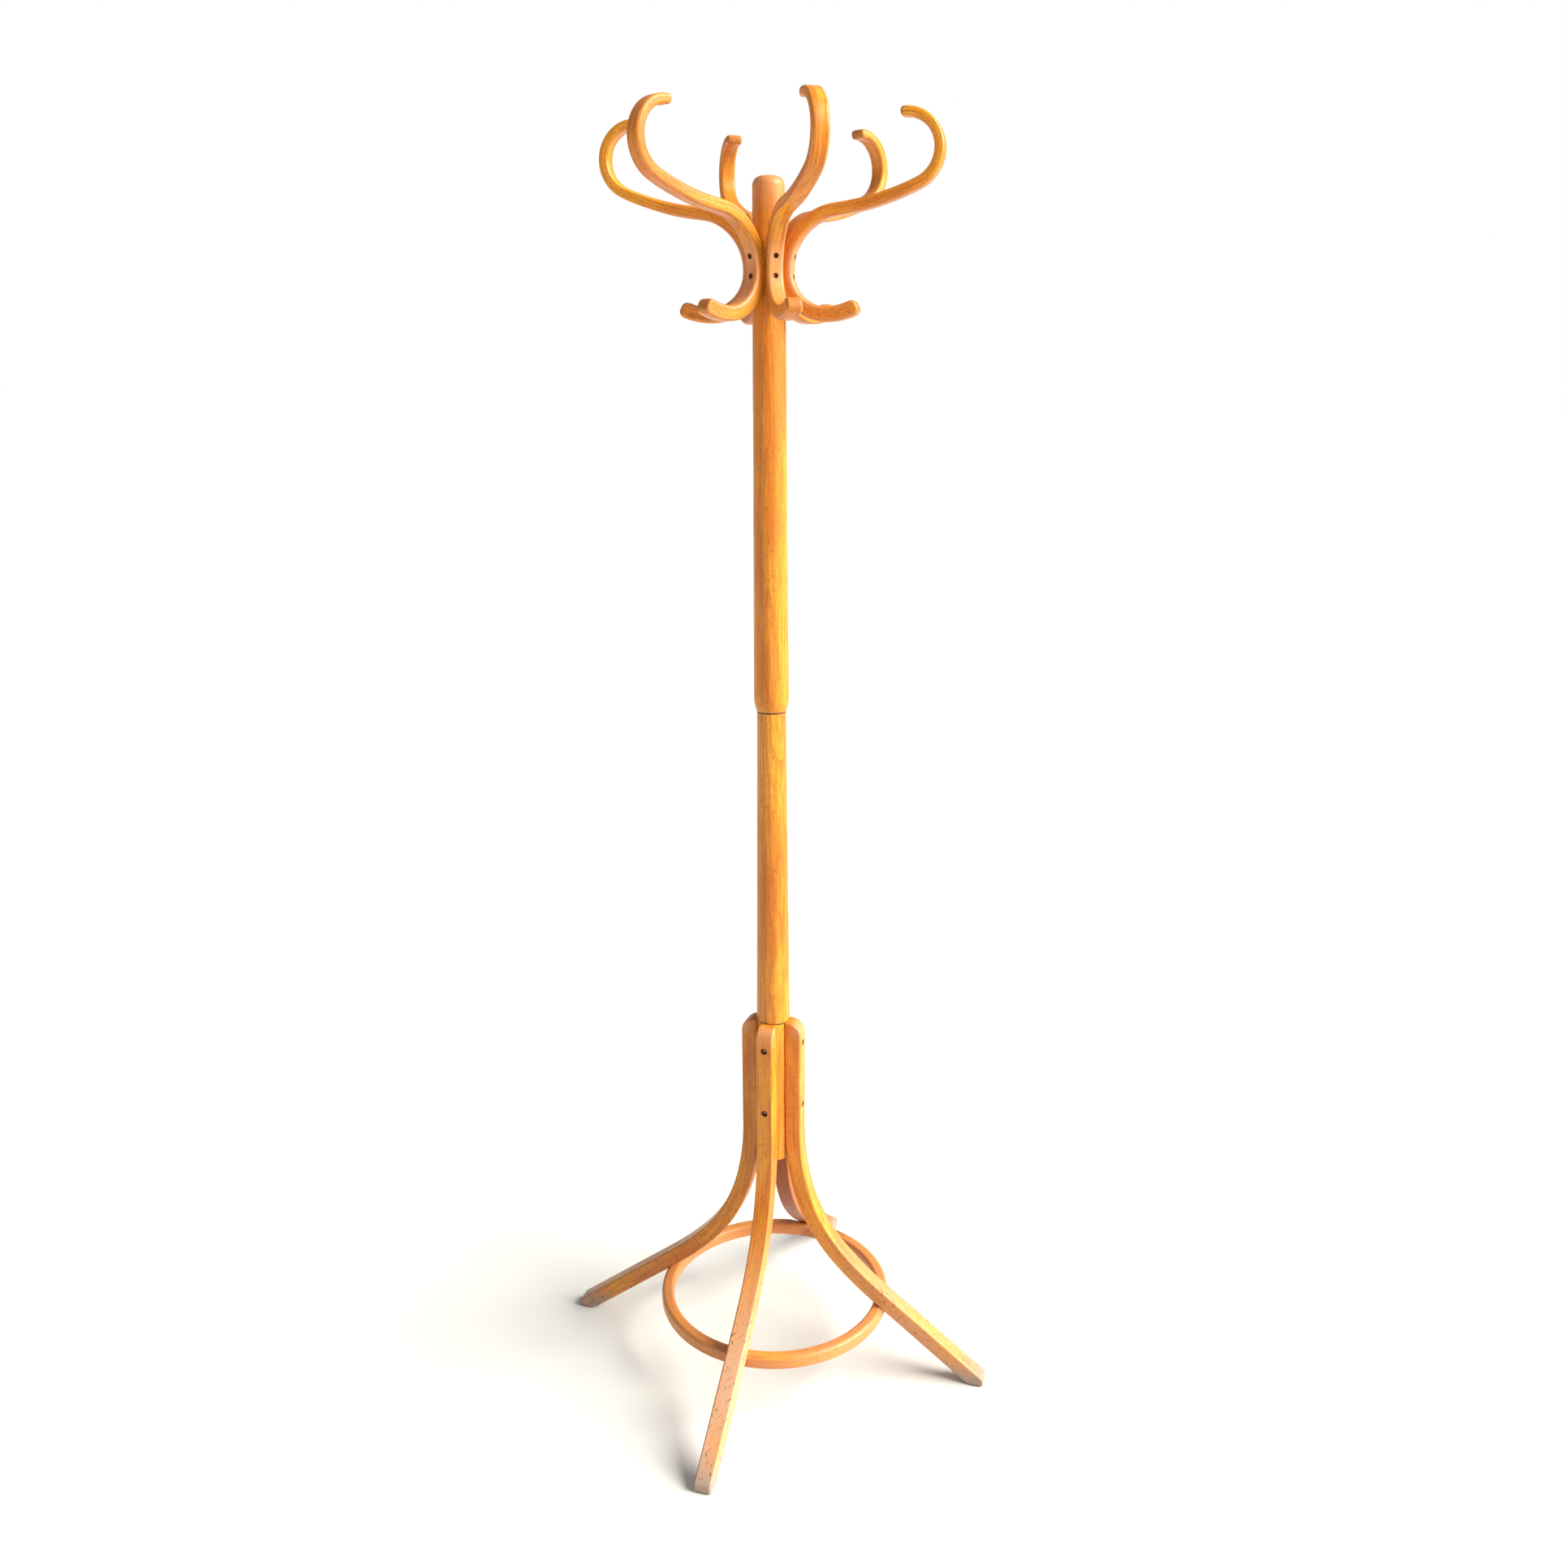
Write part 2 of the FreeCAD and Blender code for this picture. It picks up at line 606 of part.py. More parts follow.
def make_hook(name, turn):
    body = new_body(name, turn)
    outline, line = hook_outline(body)
    extrude(body, outline, "bar", "hook_width")
    low, top = line[0][0], line[-1][0]

    def end_edge(tip, thickness):
        def chosen(edge):
            middle = edge.CenterOfMass
            apart = math.hypot(middle.x - tip.x, middle.z - tip.y)
            return edge.BoundBox.YLength > 1 and apart < size(thickness) / 2 + 0.5
        return chosen

    round_edges(body, "low_end", "hook_low_end_radius", end_edge(low, "hook_low_thickness"))
    round_edges(body, "top_end", "hook_top_end_radius", end_edge(top, "hook_top_thickness"))
    round_edges(body, "long_edges", "hook_edge_radius", side_edge("hook_width"))
    back = new_sketch(body, "seat_profile")
    box_outline(back, "0", "hook_seat_height - 2 * hook_seat_below", "hook_seat_radius",
                "hook_seat_height + 2 * hook_seat_above")
    extrude(body, back, "seat", "2 * hook_width", "PartDesign::Pocket")
    for place, height in HOOK_SCREW_HEIGHTS.items():
        turned(body, "screw_hole_" + place, (HOOK_SCREW_SEAT, height), "0", hole_steps("hook_screw"),
               "PartDesign::Groove")
    return body


# ---------------------------------------------------------------------------------------------------
# Screws
# ---------------------------------------------------------------------------------------------------

def make_screw_pair(name, turn, screw, seat_radius, heights):
    body = new_body(name, turn)
    for place, height in heights.items():
        slotted_screw(body, place, screw, (seat_radius, height), "0")
    return body


def make_ring_screws():
    body = new_body("ring_screws")
    features = slotted_screw(body, "screw", "ring_screw", RING_SCREW_SEAT, RING_SCREW_SLOPE)
    around(body, features, "screws", len(LEG_TURNS))
    return body


# ---------------------------------------------------------------------------------------------------
# The whole coat rack
# ---------------------------------------------------------------------------------------------------

def make_all():
    parts = [make_lower_column(), make_upper_column(), make_joint_stud(), make_joint_insert()]
    for name, turn in LEG_TURNS.items():
        parts.append(make_leg(name, turn))
        parts.append(make_screw_pair(name + "_screws", turn, "leg_screw", LEG_SCREW_SEAT, LEG_SCREW_HEIGHTS))
    parts.append(make_foot_ring())
    parts.append(make_ring_screws())
    for number in range(HOOK_COUNT):
        name = "hook_%d" % (number + 1)
        turn = size("crown_turn") - 90.0 + 360.0 / HOOK_COUNT * number
        parts.append(make_hook(name, turn))
        parts.append(make_screw_pair(name + "_screws", turn, "hook_screw", HOOK_SCREW_SEAT,
                                     HOOK_SCREW_HEIGHTS))
    # the upper column's seats turn with the hooks
    upper = doc.getObject("upper_column")
    upper.Placement = FreeCAD.Placement(
        FreeCAD.Vector(), FreeCAD.Rotation(FreeCAD.Vector(0, 0, 1), size("crown_turn") - 90.0))
    doc.recompute()
    return parts


def check(parts):
    for item in doc.Objects:
        if "Invalid" in item.State or "Error" in item.State:
            raise RuntimeError("%s failed: %s" % (item.Name, item.State))
    for body in parts:
        if body.Shape.isNull() or not body.Shape.isValid():
            raise RuntimeError("%s has no valid shape" % body.Label)


fill_sheet()
rack = make_all()
check(rack)
os.makedirs("parts", exist_ok=True)
for body in rack:
    body.Shape.exportStep("parts/%s.step" % body.Label)
    print("%-18s %2d solid  %9.0f mm3" % (body.Label, len(body.Shape.Solids), body.Shape.Volume))
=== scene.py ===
"""Looks for a standing coat rack of bent and turned beech under worn honey-coloured varnish."""

import math

import bpy
from mathutils import Matrix, Vector


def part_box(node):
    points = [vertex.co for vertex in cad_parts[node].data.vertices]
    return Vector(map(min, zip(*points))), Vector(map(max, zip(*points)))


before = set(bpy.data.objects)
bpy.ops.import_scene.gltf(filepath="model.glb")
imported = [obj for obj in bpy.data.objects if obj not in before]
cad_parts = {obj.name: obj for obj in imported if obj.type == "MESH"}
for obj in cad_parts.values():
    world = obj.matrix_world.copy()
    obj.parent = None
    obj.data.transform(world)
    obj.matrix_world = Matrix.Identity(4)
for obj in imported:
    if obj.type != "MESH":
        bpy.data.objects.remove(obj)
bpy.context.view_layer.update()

# ---------------------------------------------------------------------------------------------------
# Sizes of the bent bars, in metres and degrees.  A bend is (radius, turn); a straight is (length, 0).
# ---------------------------------------------------------------------------------------------------

LEG_LINE_RADIUS = 0.035             # from the axis to the middle of a leg where it is upright
LEG_WIDTH = 0.027
LEG_THICKNESS = 0.026
LEG_BEND_HEIGHT = 0.404
LEG_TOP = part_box("leg_front")[1].z
LEG_BENDS = [(LEG_TOP - LEG_BEND_HEIGHT, 0.0), (0.400, 14.0), (0.270, 29.0), (0.500, 9.5), (0.150, 0.0)]
LEG_SCREW_HEIGHTS = (0.448, 0.554)
LEG_HOLE_RADIUS = 0.0047

FRONT_TURN = -90.0                  # the front leg's direction about the column
CROWN_TURN = 33.3                   # from the front leg to the first hook
HOOK_LINE_RADIUS = 0.0245
HOOK_SEAT_HEIGHT = 1.676            # where a hook's bar runs straight up beside the column
HOOK_WIDTH = 0.022
HOOK_THICKNESS = 0.016
HOOK_UPPER_BENDS = [(0.075, -84.0), (0.355, 18.0), (0.0438, 165.0)]
HOOK_LOWER_BENDS = [(0.0545, 90.0), (0.090, 28.0)]
HOOK_SCREW_HEIGHTS = (1.66925, 1.69375)
HOOK_HOLE_RADIUS = 0.0032

SEAM_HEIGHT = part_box("upper_column")[0].z
COLUMN_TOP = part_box("upper_column")[1].z

RING_LOW, RING_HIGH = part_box("foot_ring")
RING_WIDTH = 0.0195
RING_RADIUS = RING_HIGH.x - RING_WIDTH / 2
RING_HEIGHT = (RING_LOW.z + RING_HIGH.z) / 2

# ---------------------------------------------------------------------------------------------------
# Colours, linear
# ---------------------------------------------------------------------------------------------------

HONEY = (0.82, 0.355, 0.028)
ORANGE = (0.68, 0.200, 0.011)
LATE_WOOD = (0.44, 0.105, 0.007)    # the darker part of each growth ring
FLECK = (0.26, 0.060, 0.008)
SALMON = (0.64, 0.270, 0.120)       # varnish rubbed thin
PEACH = (0.62, 0.345, 0.215)        # nearly bare wood
SOILED = (0.30, 0.250, 0.215)       # grey of the toes
# Dark of real grime, and also of the painted shadow in the seams and under the toes.
GRIME_AND_SHADOW = (0.050, 0.017, 0.006)
END_GRAIN = (0.33, 0.120, 0.028)
# Umber also paints shade: the back leg's darkness and the insides of the screw bores.
UMBER = (0.20, 0.055, 0.008)        # the shade a darker piece of timber tends to
STEEL = (0.26, 0.160, 0.100)
RUST = (0.20, 0.065, 0.022)
ZINC = (0.55, 0.550, 0.560)


# ---------------------------------------------------------------------------------------------------
# Writing shader nodes
# ---------------------------------------------------------------------------------------------------

MIX_UNDER = 6                       # a Mix node's sockets for colours, which share names with others
MIX_OVER = 7
MIX_RESULT = 2


class Shader:
    """One material and the nodes in it.  Values may be numbers, colours or other nodes' outputs."""

    def __init__(self, name):
        self.material = bpy.data.materials.new(name)
        self.material.use_nodes = True
        self.tree = self.material.node_tree
        self.tree.nodes.clear()

    def node(self, kind, values=None, **settings):
        made = self.tree.nodes.new("ShaderNode" + kind)
        for setting, value in settings.items():
            setattr(made, setting, value)
        for socket, value in (values or {}).items():
            self.put(made.inputs[socket], value)
        return made

    def put(self, socket, value):
        if isinstance(value, bpy.types.NodeSocket):
            self.tree.links.new(value, socket)
        elif isinstance(value, tuple) and len(socket.default_value) == 4:
            socket.default_value = (*value, 1.0)
        else:
            socket.default_value = value

    def maths(self, operation, *values):
        made = self.node("Math", operation=operation)
        for socket, value in zip(made.inputs, values):
            self.put(socket, value)
        return made.outputs[0]

    def distance(self, first, second):
        """From zero to the place with those two coordinates."""
        square = self.maths("MULTIPLY", second, second)
        return self.maths("SQRT", self.maths("MULTIPLY_ADD", first, first, square))

    def fade(self, value, start, end, low=0.0, high=1.0):
        """Goes smoothly from low to high as the value goes from start to end."""
        made = self.node("MapRange", interpolation_type="SMOOTHSTEP")
        for socket, number in zip(made.inputs, (value, start, end, low, high)):
            self.put(socket, number)
        return made.outputs[0]

    def near(self, value, centre, reach, soft):
        """1 where the value is within reach of the centre, fading to 0 over the soft width."""
        away = self.maths("ABSOLUTE", self.maths("SUBTRACT", value, centre))
        return self.fade(away, reach + soft, reach)

    def choose(self, share, first, second):
        """The first number where the share is 0, and the second where it is 1."""
        return self.maths("MULTIPLY_ADD", self.maths("SUBTRACT", second, first), share, first)

    def noise(self, place, counts, detail, roughness):
        """A noise with that many features a metre in each of the place's three directions."""
        x, y, z = (self.maths("MULTIPLY", part, count) for part, count in zip(place, counts))
        where = self.node("CombineXYZ", {"X": x, "Y": y, "Z": z})
        values = {"Vector": where.outputs[0], "Scale": 1.0, "Detail": detail, "Roughness": roughness}
        return self.node("TexNoise", values).outputs["Fac"]

    def tint(self, colour, over, share, *masks):
        """The colour, with that share of another over it where the masks are 1."""
        for mask in masks:
            share = self.maths("MULTIPLY", mask, share)
        values = {"Factor": share, MIX_UNDER: colour, MIX_OVER: over}
        return self.node("Mix", values, data_type="RGBA").outputs[MIX_RESULT]

    def finish(self, colour, roughness, height, relief, others):
        """The whole material.  Its relief is so many metres deep, and others are further values."""
        bump = self.node("Bump", {"Strength": 1.0, "Distance": relief, "Height": height})
        values = {"Base Color": colour, "Roughness": roughness, "Normal": bump.outputs[0], **others}
        surface = self.node("BsdfPrincipled", values)
        self.node("OutputMaterial", {"Surface": surface.outputs[0]})
        return self.material


# ---------------------------------------------------------------------------------------------------
# Places along, through and across a piece of wood
# ---------------------------------------------------------------------------------------------------

STRETCH_SPARE = 0.05                # how far a stretch goes on past its end, until the next takes over
STRETCH_REACH = 0.025               # how far from its middle line a stretch is looked for
UP = 90.0                           # headings in degrees, from outward round to upward
DOWN = -90.0


def local_place(shader, turn):
    """Outward, sideways and upward place in a piece that stands at that turn about the column."""
    place = shader.node("TexCoord").outputs["Object"]
    turned = shader.node("Mapping", {"Vector": place, "Rotation": (0.0, 0.0, -math.radians(turn))})
    parts = shader.node("SeparateXYZ", {"Vector": turned.outputs[0]})
    return tuple(parts.outputs)


def straight(shader, out, up, start, heading, run):
    """How far along a straight stretch a place is, counted on from the run, and how far to its left."""
    ahead = Vector((math.cos(heading), math.sin(heading)))
    from_out = shader.maths("SUBTRACT", out, start.x)
    from_up = shader.maths("SUBTRACT", up, start.y)
    along = shader.maths("MULTIPLY_ADD", from_up, ahead.y, shader.maths("MULTIPLY", from_out, ahead.x))
    left = shader.maths("MULTIPLY_ADD", from_up, ahead.x, shader.maths("MULTIPLY", from_out, -ahead.y))
    return shader.maths("ADD", along, run), left


def bent(shader, out, up, start, heading, run, radius, turn):
    """The same for a stretch that bends, to the left where its turn is above zero."""
    side = math.copysign(1.0, turn)
    centre = start + Vector((-math.sin(heading), math.cos(heading))) * radius * side
    from_out = shader.maths("SUBTRACT", out, centre.x)
    from_up = shader.maths("SUBTRACT", up, centre.y)
    away = shader.distance(from_out, from_up)
    first = math.atan2(start.y - centre.y, start.x - centre.x)
    angle = shader.maths("SUBTRACT", shader.maths("ARCTAN2", from_up, from_out), first)
    swept = shader.maths("WRAP", shader.maths("MULTIPLY", angle, side), math.pi, -math.pi)
    left = shader.maths("MULTIPLY", shader.maths("SUBTRACT", radius, away), side)
    return shader.maths("MULTIPLY_ADD", swept, radius, run), left


def follow(shader, out, up, start, heading, bends):
    """How far along a bent middle line a place is, and how far to its left."""
    place = Vector(start)
    heading = math.radians(heading)
    run = 0.0
    along = left = None
    for reach, degrees in bends:
        turn = math.radians(degrees)
        if turn:
            here, aside = bent(shader, out, up, place, heading, run, reach, turn)
            length = reach * abs(turn)
            chord = 2 * reach * math.sin(abs(turn) / 2)
        else:
            here, aside = straight(shader, out, up, place, heading, run)
            length = chord = reach
        if along is None:
            along, left = here, aside
        else:
            started = shader.maths("GREATER_THAN", here, run)
            ended = shader.maths("LESS_THAN", here, run + length + STRETCH_SPARE)
            close = shader.maths("LESS_THAN", shader.maths("ABSOLUTE", aside), STRETCH_REACH)
            inside = shader.maths("MULTIPLY", shader.maths("MULTIPLY", started, ended), close)
            along = shader.choose(inside, along, here)
            left = shader.choose(inside, left, aside)
        middle = heading + turn / 2
        place = place + Vector((math.cos(middle), math.sin(middle))) * chord
        heading += turn
        run += length
    return along, left


def line_length(bends):
    """The length of a bent middle line."""
    return sum(reach * math.radians(abs(turn)) if turn else reach for reach, turn in bends)


# ---------------------------------------------------------------------------------------------------
# Beech.  A noise is (features a metre across the grain, across it again and along it), detail,
# roughness.  A band is where a share starts and where it is full, then its least and its most.
# ---------------------------------------------------------------------------------------------------

RING_SPACING = 0.0034               # between growth rings
TREE_TAPER = 0.010                  # how fast the rings run out of a straight bar
PITH_DISTANCE = 0.034
PITH_TURN_STEP = 2.4                # how much further round its pith is in each piece, in radians
TIMBER_STEP = 3.7                   # how much further up the tree each piece comes from

SWAY_NOISE = ((22.0, 22.0, 5.0), 1.0, 0.5)
SWAY = 0.016                        # how far slow bends carry a growth ring
RIPPLE_NOISE = ((160.0, 160.0, 26.0), 2.0, 0.5)
RIPPLE = 0.0016
FIBRE_NOISE = ((1500.0, 1500.0, 26.0), 3.0, 0.6)
STREAK_NOISE = ((230.0, 230.0, 7.0), 2.0, 0.55)
FLECK_NOISE = ((1250.0, 1250.0, 150.0), 1.0, 0.5)
CLOUD_NOISE = ((26.0, 26.0, 6.5), 3.0, 0.6)

ORANGE_CLOUDS = (0.34, 0.66)
LATE_RISE = (0.30, 0.92)            # the dark part of a growth ring comes slowly
LATE_END = (1.0, 0.94)              # and ends at once
LATE_SHARE = 0.50
LATE_RELIEF = 0.3
STREAKS = (0.46, 0.72, 0.0, 0.60)
FIBRES = (0.42, 0.70, 0.0, 0.50)
FLECKS = (0.60, 0.70)
FLECK_SHARE = 0.60
SHEEN = (0.3, 0.7, 0.30, 0.42)      # the varnish's roughness


def beech_grain(shader, along, depth, across, seed, shade):
    """Colour, roughness, relief and cloudiness of varnished beech, from its growth rings and fibres.

    Each piece is cut from its own timber, and the shade says how much darker it is than the palest.
    On the back leg that darkness is painted shade, for the leg stands in shadow.
    """
    lengthwise = shader.maths("ADD", along, seed * TIMBER_STEP)
    place = (depth, across, lengthwise)
    pith_turn = seed * PITH_TURN_STEP
    from_depth = shader.maths("SUBTRACT", depth, PITH_DISTANCE * math.cos(pith_turn))
    from_across = shader.maths("SUBTRACT", across, PITH_DISTANCE * math.sin(pith_turn))

    reach = shader.distance(from_depth, from_across)
    reach = shader.maths("MULTIPLY_ADD", shader.noise(place, *SWAY_NOISE), SWAY, reach)
    reach = shader.maths("MULTIPLY_ADD", shader.noise(place, *RIPPLE_NOISE), RIPPLE, reach)
    reach = shader.maths("MULTIPLY_ADD", lengthwise, TREE_TAPER, reach)
    phase = shader.maths("FRACT", shader.maths("DIVIDE", reach, RING_SPACING))
    late = shader.maths("MULTIPLY", shader.fade(phase, *LATE_RISE), shader.fade(phase, *LATE_END))
    fibre = shader.noise(place, *FIBRE_NOISE)
    streak = shader.noise(place, *STREAK_NOISE)
    flecks = shader.fade(shader.noise(place, *FLECK_NOISE), *FLECKS)
    cloud = shader.noise(place, *CLOUD_NOISE)

    colour = shader.tint(HONEY, ORANGE, shader.fade(cloud, *ORANGE_CLOUDS))
    colour = shader.tint(colour, UMBER, shade)
    colour = shader.tint(colour, LATE_WOOD, LATE_SHARE, late)
    colour = shader.tint(colour, LATE_WOOD, shader.fade(streak, *STREAKS))
    colour = shader.tint(colour, LATE_WOOD, shader.fade(fibre, *FIBRES))
    colour = shader.tint(colour, FLECK, FLECK_SHARE, flecks)
    roughness = shader.fade(cloud, *SHEEN)
    height = shader.maths("MULTIPLY_ADD", late, LATE_RELIEF, shader.maths("SUBTRACT", fibre, flecks))
    return colour, roughness, height, cloud


GLOSS = 0.34
COAT = 0.10                         # a thin old varnish


def varnish(shader, colour, roughness, height, relief, haze):
    """Finished beech, with its relief that deep and its varnish that hazy."""
    coat = {"Specular IOR Level": GLOSS, "Coat Weight": COAT, "Coat Roughness": haze}
    return shader.finish(colour, roughness, height, relief, coat)


# ---------------------------------------------------------------------------------------------------
# Marks, dirt and painted shade
# ---------------------------------------------------------------------------------------------------

NICK_NOISE = ((330.0, 330.0, 120.0), 2.0, 0.6)
NICKS = (0.64, 0.72)
SCRATCH_NOISE = ((40.0, 620.0, 34.0), 0.0, 0.5)
SCRATCHES = (0.76, 0.80)
SCRATCH_SLOPE = 0.8

# The seam lines are painted shadow, where one piece shades the next.
SEAM_REACH = 0.0009
SEAM_SOFT = 0.0010
SEAM_SHARE = 0.85

HOLE_SHADE_AND_STAINS = (                     # colour, where it starts and is full in hole radii, and its share
    (GRIME_AND_SHADOW, 1.45, 1.04, 0.35),
    # painted shade inside the bores; the grime above is a real ring of dirt around their mouths
    (UMBER, 1.06, 1.01, 0.90),
)

EDGE_START = 0.0040                 # in from a bar's side, where the wear of its long edges starts
EDGE_FULL = 0.0012


def speckle(shader, colour, along, depth, across, amount):
    """Small dark nicks, stains and slanting scratches, thicker where the amount is higher."""
    nicks = shader.fade(shader.noise((depth, across, along), *NICK_NOISE), *NICKS)
    colour = shader.tint(colour, GRIME_AND_SHADOW, amount, nicks)
    slanted = shader.maths("MULTIPLY_ADD", along, SCRATCH_SLOPE, across)
    lengthwise = shader.maths("SUBTRACT", along, across)
    scratches = shader.fade(shader.noise((depth, slanted, lengthwise), *SCRATCH_NOISE), *SCRATCHES)
    return shader.tint(colour, FLECK, amount, scratches)


def seam_shadow_line(shader, colour, value, centre):
    """A hairline of painted shadow where two pieces meet."""
    line = shader.near(value, centre, SEAM_REACH, SEAM_SOFT)
    return shader.tint(colour, GRIME_AND_SHADOW, SEAM_SHARE, line)


def screw_hole_shade_and_grime(shader, colour, across, up, heights, radius):
    """Painted shade in the bores, with a soft ring of grime in the wood around their mouths."""
    for height in heights:
        away = shader.distance(across, shader.maths("SUBTRACT", up, height))
        for stain, start, full, share in HOLE_SHADE_AND_STAINS:
            stained = shader.fade(away, radius * start, radius * full, 0.0, share)
            colour = shader.tint(colour, stain, stained)
    return colour


def edge_wear(shader, depth, across, thickness, width):
    """1 on the long rounded edges of a bar, 0 on its faces."""
    edges = []
    for place, size in ((depth, thickness), (across, width)):
        aside = shader.maths("ABSOLUTE", place)
        edges.append(shader.fade(aside, size / 2 - EDGE_START, size / 2 - EDGE_FULL))
    return shader.maths("MULTIPLY", *edges)


# ---------------------------------------------------------------------------------------------------
# Columns
# ---------------------------------------------------------------------------------------------------

DOME_START = 0.055                  # below the column's top, where its rubbed dome starts
DOME_FULL = 0.010
DOME_SHARE = 0.55
COLUMN_NICKS = 0.40


def column_beech(name, seed, shade, meets):
    """Beech for a column that meets its neighbours at the given heights, with a painted shadow line at
    each.
    """
    shader = Shader(name)
    out, side, up = local_place(shader, 0.0)
    colour, roughness, height, _ = beech_grain(shader, up, out, side, seed, shade)
    dome = shader.fade(up, COLUMN_TOP - DOME_START, COLUMN_TOP - DOME_FULL, 0.0, DOME_SHARE)
    colour = shader.tint(colour, SALMON, dome)
    colour = speckle(shader, colour, up, out, side, COLUMN_NICKS)
    # painted shadow lines at the seam and where the legs meet the column
    for joint in meets:
        colour = seam_shadow_line(shader, colour, up, joint)
    return varnish(shader, colour, roughness, height, relief=0.00014, haze=0.20)


# ---------------------------------------------------------------------------------------------------
# Legs.  Heights are above the floor, and lengths are from a leg's top.
# ---------------------------------------------------------------------------------------------------

LEG_WORN_HEIGHTS = (0.290, 0.090)   # from whole varnish to nearly bare wood
LEG_WORN_PATCHES = (0.30, 0.62, 0.45, 1.0)
BARE_ROUGHNESS = 0.62
LEG_TOP_LENGTHS = (0.034, 0.010)    # the rubbed round of the top
LEG_TOP_OUTSIDE = (-0.006, 0.004)
LEG_TOP_SHARE = 0.75
LEG_EDGE_PATCHES = (0.35, 0.65, 0.0, 0.35)
TOE_HEIGHTS = (0.050, 0.006)
TOE_PATCHES = (0.25, 0.60, 0.55, 1.0)
TOE_SHARE = 0.90
SOLE_SHADOW_HEIGHTS = (0.0040, 0.0010, 0.0, 0.7)
LEG_NICKS = (0.40, 0.03, 0.30, 1.0)


def leg_beech(name, turn, seed, shade, wear):
    """Beech worn towards the toe, for a leg that stands at that turn about the column."""
    shader = Shader(name)
    out, side, up = local_place(shader, turn)
    along, left = follow(shader, out, up, (LEG_LINE_RADIUS, LEG_TOP), DOWN, LEG_BENDS)
    colour, roughness, height, cloud = beech_grain(shader, along, left, side, seed, shade)

    low = shader.fade(up, *LEG_WORN_HEIGHTS, 0.0, wear)
    worn = shader.maths("MULTIPLY", low, shader.fade(cloud, *LEG_WORN_PATCHES))
    colour = shader.tint(colour, PEACH, worn)
    top = shader.fade(along, *LEG_TOP_LENGTHS)
    colour = shader.tint(colour, SALMON, LEG_TOP_SHARE, top, shader.fade(left, *LEG_TOP_OUTSIDE))
    edges = edge_wear(shader, left, side, LEG_THICKNESS, LEG_WIDTH)
    colour = shader.tint(colour, SALMON, shader.fade(cloud, *LEG_EDGE_PATCHES), edges)
    toe = shader.fade(up, *TOE_HEIGHTS)
    colour = shader.tint(colour, SOILED, TOE_SHARE, toe, shader.fade(cloud, *TOE_PATCHES))
    # painted contact shadow along the bottom of the leg, where it meets the floor
    colour = shader.tint(colour, GRIME_AND_SHADOW, shader.fade(up, *SOLE_SHADOW_HEIGHTS))
    colour = speckle(shader, colour, along, left, side, shader.fade(up, *LEG_NICKS))
    colour = screw_hole_shade_and_grime(shader, colour, side, up, LEG_SCREW_HEIGHTS, LEG_HOLE_RADIUS)
    roughness = shader.choose(worn, roughness, BARE_ROUGHNESS)
    return varnish(shader, colour, roughness, height, relief=0.00016, haze=0.22)


# ---------------------------------------------------------------------------------------------------
# Hooks.  Lengths are from a hook's seat, up its bar or, below zero, down it.
# ---------------------------------------------------------------------------------------------------

RUBBED_CENTRE = -0.010              # coats rub the outside of the throat
RUBBED_REACH = 0.030
RUBBED_SOFT = 0.035
RUBBED_OUTSIDE = (0.0, -0.006)
RUBBED_PATCHES = (0.28, 0.60, 0.3, 0.85)
HOOK_EDGE_PATCHES = (0.35, 0.65, 0.0, 0.40)
TIP_REACH = 0.0012
TIP_SOFT = 0.0030
TIP_SHARE = 0.55
HOOK_NICKS = 0.30


def hook_beech(name, turn, seed, shade):
    """Beech rubbed at the throat and with end grain at both tips, for a hook at that turn."""
    shader = Shader(name)
    out, side, up = local_place(shader, turn)
    root = (HOOK_LINE_RADIUS, HOOK_SEAT_HEIGHT)
    rising, rising_left = follow(shader, out, up, root, UP, HOOK_UPPER_BENDS)
    falling, falling_left = follow(shader, out, up, root, DOWN, HOOK_LOWER_BENDS)
    above = shader.maths("GREATER_THAN", up, HOOK_SEAT_HEIGHT)
    along = shader.choose(above, shader.maths("MULTIPLY", falling, -1.0), rising)
    left = shader.choose(above, shader.maths("MULTIPLY", falling_left, -1.0), rising_left)
    colour, roughness, height, cloud = beech_grain(shader, along, left, side, seed, shade)

    throat = shader.near(along, RUBBED_CENTRE, RUBBED_REACH, RUBBED_SOFT)
    outside = shader.fade(left, *RUBBED_OUTSIDE)
    colour = shader.tint(colour, SALMON, shader.fade(cloud, *RUBBED_PATCHES), throat, outside)
    edges = edge_wear(shader, left, side, HOOK_THICKNESS, HOOK_WIDTH)
    colour = shader.tint(colour, SALMON, shader.fade(cloud, *HOOK_EDGE_PATCHES), edges)
    for end in (line_length(HOOK_UPPER_BENDS), -line_length(HOOK_LOWER_BENDS)):
        tip = shader.near(along, end, TIP_REACH, TIP_SOFT)
        colour = shader.tint(colour, END_GRAIN, TIP_SHARE, tip)
    colour = speckle(shader, colour, along, left, side, HOOK_NICKS)
    colour = screw_hole_shade_and_grime(shader, colour, side, up, HOOK_SCREW_HEIGHTS, HOOK_HOLE_RADIUS)
    return varnish(shader, colour, roughness, height, relief=0.00014, haze=0.20)


# ---------------------------------------------------------------------------------------------------
# Foot ring.  Lengths are around it from its joint.
# ---------------------------------------------------------------------------------------------------

RING_JOINT_TURN = math.radians(76.0)        # the hoop's ends are glued beside the back leg
RING_JOINT_SLOPE = 0.16                     # a long slanted joint
RING_RUBBED = (0.3, 0.6, 0.25, 0.60)
JOINT_REACH = 0.030
JOINT_SOFT = 0.022
JOINT_SHARE = 0.45
GLUE_REACH = 0.0003
GLUE_SOFT = 0.0003
GLUE_SHARE = 0.85
RING_NICKS = 0.5


